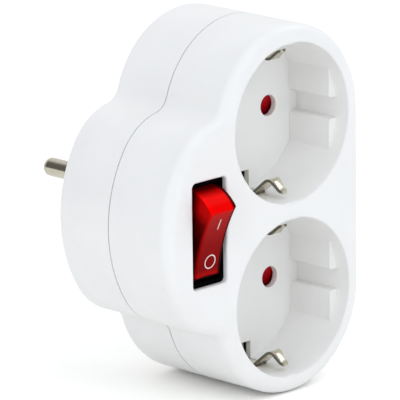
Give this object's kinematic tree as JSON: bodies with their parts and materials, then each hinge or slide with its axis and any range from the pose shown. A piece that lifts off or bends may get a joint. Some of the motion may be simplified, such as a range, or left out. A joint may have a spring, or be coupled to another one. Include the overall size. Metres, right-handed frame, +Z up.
{
  "type": "multi socket adapter",
  "caption": "Plug-in wall adapter with round earthed sockets stacked in line, a red lit rocker switch on a side lobe and shutters behind the pin holes.",
  "frame": {"origin": "centre of the plug's end face, midway between the two pins where they start", "axes": "+X to the right seen from the front, +Y along the pins towards the wall, +Z up"},
  "size_m": [0.068, 0.0819, 0.0928],
  "materials": {
    "white_plastic": "glossy white moulding",
    "pale_plastic": "natural satin moulding",
    "red_plastic": "glossy red moulding",
    "clear_red_plastic": "clear red, polished",
    "black_plastic": "satin black moulding",
    "steel": "zinc plated",
    "nickel": "brass with a bright nickel plating",
    "brass": "rolled brass",
    "brown_wire": "smooth insulation",
    "blue_wire": "smooth insulation",
    "lamp_glass": "clear lamp bulb",
    "resistor_body": "lacquered body"
  },
  "bodies": {
    "adapter": {"front_housing": "white_plastic", "rear_housing": "white_plastic", "upper_shutter_cover": "pale_plastic", "lower_shutter_cover": "pale_plastic", "switch_frame": "black_plastic", "housing_screws": "steel", "upper_shutter_spring": "steel", "lower_shutter_spring": "steel", "live_pin": "nickel", "neutral_pin": "nickel", "upper_plug_contact": "nickel", "lower_plug_contact": "nickel", "upper_earth_bracket": "nickel", "lower_earth_bracket": "nickel", "earth_post": "brass", "earth_bar": "brass", "earth_rivets": "brass", "live_busbar": "brass", "neutral_busbar": "brass", "neutral_link": "brass", "input_terminal": "brass", "output_terminal": "brass", "lamp_terminal": "brass", "live_wire": "brown_wire", "switched_wire": "brown_wire", "lamp_wire": "blue_wire"},
    "rocker": {"switch_rocker": "clear_red_plastic", "neon_lamp": "lamp_glass", "lamp_resistor": "resistor_body", "plunger_spring": "steel"},
    "plunger": {"switch_plunger": "pale_plastic"},
    "lever": {"contact_lever": "brass"},
    "upper_shutter": {"upper_shutter": "red_plastic"},
    "lower_shutter": {"lower_shutter": "red_plastic"}
  },
  "joints": [
    {"name": "rocker_tilt", "type": "hinge", "parent": "adapter", "child": "rocker", "pos_m": [-0.02895, -0.05315, 0], "axis": [-1, 0, 0], "range_deg": [0, 37]},
    {"name": "plunger_slide", "type": "slide", "parent": "rocker", "child": "plunger", "axis": [0, -0.9483, -0.3173], "range_m": [0, 0.0006], "stiffness_N_per_m": 300, "springref_m": -0.002, "deforming": ["plunger_spring"]},
    {"name": "lever_tilt", "type": "hinge", "parent": "adapter", "child": "lever", "pos_m": [-0.02895, -0.04615, 0], "axis": [1, 0, 0], "range_deg": [0, 18.5]},
    {"name": "upper_shutter_turn", "type": "hinge", "parent": "adapter", "child": "upper_shutter", "pos_m": [0, -0.0379, 0.022], "axis": [0, -1, 0], "range_deg": [0, 40], "stiffness_Nm_per_rad": 0.003, "springref_deg": -20.05, "deforming": ["upper_shutter_spring"]},
    {"name": "lower_shutter_turn", "type": "hinge", "parent": "adapter", "child": "lower_shutter", "pos_m": [0, -0.0379, -0.022], "axis": [0, -1, 0], "range_deg": [0, 40], "stiffness_Nm_per_rad": 0.003, "springref_deg": -20.05, "deforming": ["lower_shutter_spring"]}
  ],
  "couplings": [
    {"joint": "lever_tilt", "follows": "rocker_tilt", "ratio": 0.5}
  ]
}
